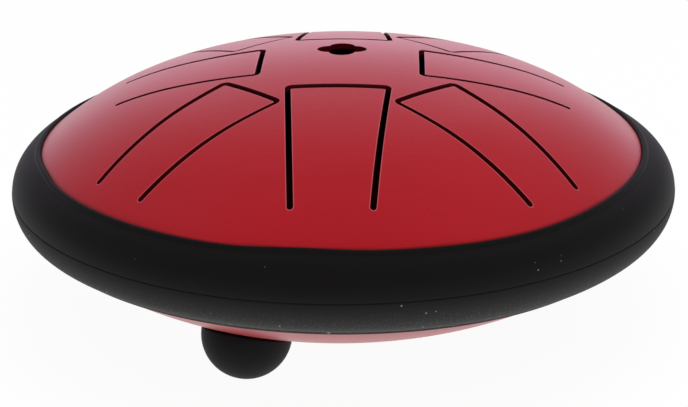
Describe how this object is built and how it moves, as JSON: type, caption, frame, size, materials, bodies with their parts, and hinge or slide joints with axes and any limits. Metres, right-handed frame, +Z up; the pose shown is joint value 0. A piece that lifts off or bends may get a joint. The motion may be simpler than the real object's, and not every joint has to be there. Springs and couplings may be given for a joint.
{
  "type": "steel tongue drum",
  "caption": "Small lens-shaped steel tongue drum: red top shell cut into tongues round a quatrefoil sound hole, closed lower shell, black rubber edge ring and half-ball feet.",
  "frame": {"origin": "on the surface that the drum stands on, under the drum's axis", "axes": "+Z up along the drum's axis, -Y through the middle of the front tongue, the longest; +X to the right seen from the front"},
  "size_m": [0.145, 0.145, 0.0574],
  "materials": {
    "shell_coat": "smooth satin red coat on pressed steel",
    "weld": "bare weld bead, hidden in the ring",
    "ring_rubber": "matte moulded black rubber",
    "foot_rubber": "smooth matte black rubber",
    "pad_foam": "dark adhesive foam"
  },
  "bodies": {
    "root": {"top_shell": "shell_coat", "bottom_shell": "shell_coat", "edge_weld": "weld", "rim_ring": "ring_rubber", "foot_front": "foot_rubber", "foot_right": "foot_rubber", "foot_rear": "foot_rubber", "pad_front": "pad_foam", "pad_right": "pad_foam", "pad_rear": "pad_foam"}
  },
  "joints": []
}
